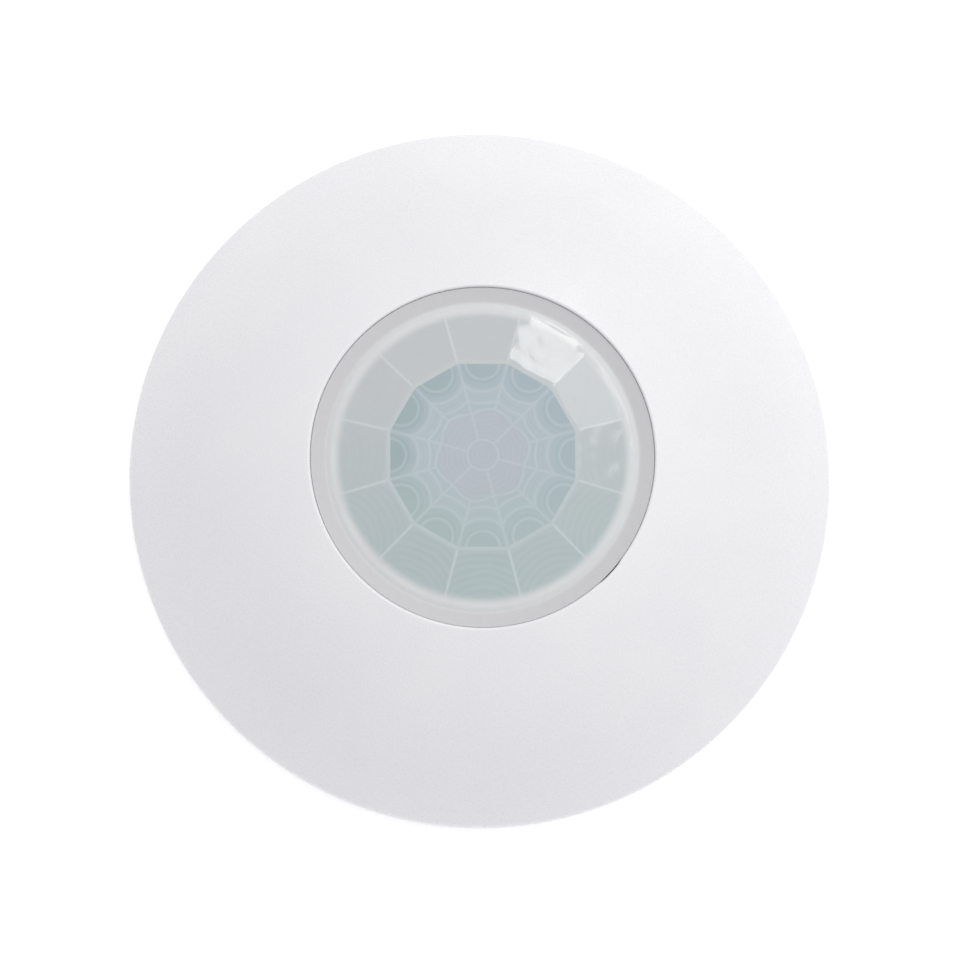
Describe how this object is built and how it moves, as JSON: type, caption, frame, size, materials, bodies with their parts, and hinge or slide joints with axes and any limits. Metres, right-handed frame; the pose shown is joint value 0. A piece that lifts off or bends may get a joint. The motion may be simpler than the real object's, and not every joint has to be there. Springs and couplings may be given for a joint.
{
  "type": "motion sensor",
  "caption": "Round white domed ceiling motion sensor with a recessed milky faceted lens, twist-off mounting base and clip-fitted cover.",
  "frame": {"origin": "centre of the mounting face, at the back of the base", "axes": "+Z out of the ceiling along the lens axis; +X and +Y across, with the terminal block towards -Y"},
  "size_m": [0.1, 0.1, 0.0245],
  "materials": {
    "white_housing": "fine satin moulding",
    "base_housing": "satin moulding",
    "milky_lens": "milky translucent polyethylene with fine grooves",
    "natural_nylon": "unpigmented moulding",
    "green_board": "solder mask on glass laminate",
    "black_moulding": "satin moulding",
    "grey_rubber": "matte",
    "terminal_green": "satin moulding",
    "trimmer_blue": "semi-gloss",
    "dip_red": "semi-gloss",
    "rotor_cream": "satin moulding",
    "nickel_can": "nickel plated",
    "dark_window": "polished filter window",
    "zinc_steel": "zinc plated",
    "brass": "plain",
    "led_red": "clear tinted",
    "ceramic_tan": "fired ceramic"
  },
  "bodies": {
    "base": {"mounting_base": "base_housing", "cable_grommet": "grey_rubber"},
    "head": {"chassis": "base_housing", "circuit_board": "green_board", "board_screw_1": "zinc_steel", "board_screw_2": "zinc_steel", "board_screw_3": "zinc_steel", "pyro_can": "nickel_can", "pyro_window": "dark_window", "pyro_lead_1": "zinc_steel", "pyro_lead_2": "zinc_steel", "pyro_lead_3": "zinc_steel", "pyro_collar": "black_moulding", "terminal_block": "terminal_green", "tamper_switch": "black_moulding", "tamper_spring": "zinc_steel", "dip_switch": "dip_red", "trimmer_body": "trimmer_blue", "alarm_relay": "black_moulding", "controller_chip": "black_moulding", "amplifier_chip": "black_moulding", "filter_capacitor_1": "zinc_steel", "filter_capacitor_2": "zinc_steel", "indicator_led": "led_red", "resistor_1": "black_moulding", "resistor_2": "black_moulding", "resistor_3": "black_moulding", "ceramic_capacitor_1": "ceramic_tan", "ceramic_capacitor_2": "ceramic_tan", "ceramic_capacitor_3": "ceramic_tan"},
    "cover": {"front_cover": "white_housing", "lens": "milky_lens", "lens_retainer": "natural_nylon", "snap_ring": "natural_nylon"},
    "plunger": {"tamper_plunger": "rotor_cream"},
    "trimmer_knob": {"trimmer_rotor": "rotor_cream"},
    "dip_1": {"dip_slider_1": "rotor_cream"},
    "dip_2": {"dip_slider_2": "rotor_cream"},
    "dip_3": {"dip_slider_3": "rotor_cream"},
    "screw_1": {"terminal_screw_1": "zinc_steel"},
    "clamp_1": {"wire_clamp_1": "brass"},
    "screw_2": {"terminal_screw_2": "zinc_steel"},
    "clamp_2": {"wire_clamp_2": "brass"},
    "screw_3": {"terminal_screw_3": "zinc_steel"},
    "clamp_3": {"wire_clamp_3": "brass"},
    "screw_4": {"terminal_screw_4": "zinc_steel"},
    "clamp_4": {"wire_clamp_4": "brass"},
    "screw_5": {"terminal_screw_5": "zinc_steel"},
    "clamp_5": {"wire_clamp_5": "brass"},
    "screw_6": {"terminal_screw_6": "zinc_steel"},
    "clamp_6": {"wire_clamp_6": "brass"}
  },
  "joints": [
    {"name": "head_twist", "type": "hinge", "parent": "base", "child": "head", "pos_m": [0, 0, 0.004], "axis": [0, 0, 1], "range_deg": [0, 18]},
    {"name": "cover_lift", "type": "slide", "parent": "head", "child": "cover", "axis": [0, 0, 1], "range_m": [0, 0.04], "deforming": ["snap_ring"]},
    {"name": "tamper_travel", "type": "slide", "parent": "head", "child": "plunger", "axis": [0, 0, 1], "range_m": [-0.001, 0], "deforming": ["tamper_spring"]},
    {"name": "trimmer_turn", "type": "hinge", "parent": "head", "child": "trimmer_knob", "pos_m": [0.0125, -0.0108, 0.0135], "axis": [0, 0, 1], "range_deg": [-135, 135]},
    {"name": "dip_1_slide", "type": "slide", "parent": "head", "child": "dip_1", "axis": [0, 1, 0], "range_m": [0, 0.0021]},
    {"name": "dip_2_slide", "type": "slide", "parent": "head", "child": "dip_2", "axis": [0, 1, 0], "range_m": [0, 0.0021]},
    {"name": "dip_3_slide", "type": "slide", "parent": "head", "child": "dip_3", "axis": [0, 1, 0], "range_m": [0, 0.0021]},
    {"name": "terminal_1_turn", "type": "hinge", "parent": "head", "child": "screw_1", "pos_m": [-0.0127, -0.0222, 0.0153], "axis": [0, 0, -1], "range_deg": [0, 360]},
    {"name": "clamp_1_rise", "type": "slide", "parent": "head", "child": "clamp_1", "axis": [0, 0, 1], "range_m": [0, 0.0005]},
    {"name": "terminal_2_turn", "type": "hinge", "parent": "head", "child": "screw_2", "pos_m": [-0.00762, -0.0222, 0.0153], "axis": [0, 0, -1], "range_deg": [0, 360]},
    {"name": "clamp_2_rise", "type": "slide", "parent": "head", "child": "clamp_2", "axis": [0, 0, 1], "range_m": [0, 0.0005]},
    {"name": "terminal_3_turn", "type": "hinge", "parent": "head", "child": "screw_3", "pos_m": [-0.00254, -0.0222, 0.0153], "axis": [0, 0, -1], "range_deg": [0, 360]},
    {"name": "clamp_3_rise", "type": "slide", "parent": "head", "child": "clamp_3", "axis": [0, 0, 1], "range_m": [0, 0.0005]},
    {"name": "terminal_4_turn", "type": "hinge", "parent": "head", "child": "screw_4", "pos_m": [0.00254, -0.0222, 0.0153], "axis": [0, 0, -1], "range_deg": [0, 360]},
    {"name": "clamp_4_rise", "type": "slide", "parent": "head", "child": "clamp_4", "axis": [0, 0, 1], "range_m": [0, 0.0005]},
    {"name": "terminal_5_turn", "type": "hinge", "parent": "head", "child": "screw_5", "pos_m": [0.00762, -0.0222, 0.0153], "axis": [0, 0, -1], "range_deg": [0, 360]},
    {"name": "clamp_5_rise", "type": "slide", "parent": "head", "child": "clamp_5", "axis": [0, 0, 1], "range_m": [0, 0.0005]},
    {"name": "terminal_6_turn", "type": "hinge", "parent": "head", "child": "screw_6", "pos_m": [0.0127, -0.0222, 0.0153], "axis": [0, 0, -1], "range_deg": [0, 360]},
    {"name": "clamp_6_rise", "type": "slide", "parent": "head", "child": "clamp_6", "axis": [0, 0, 1], "range_m": [0, 0.0005]}
  ],
  "couplings": [
    {"joint": "tamper_travel", "follows": "head_twist", "m_per_rad": -0.00318},
    {"joint": "clamp_1_rise", "follows": "terminal_1_turn", "m_per_rad": 0.0000795},
    {"joint": "clamp_2_rise", "follows": "terminal_2_turn", "m_per_rad": 0.0000795},
    {"joint": "clamp_3_rise", "follows": "terminal_3_turn", "m_per_rad": 0.0000795},
    {"joint": "clamp_4_rise", "follows": "terminal_4_turn", "m_per_rad": 0.0000795},
    {"joint": "clamp_5_rise", "follows": "terminal_5_turn", "m_per_rad": 0.0000795},
    {"joint": "clamp_6_rise", "follows": "terminal_6_turn", "m_per_rad": 0.0000795}
  ]
}
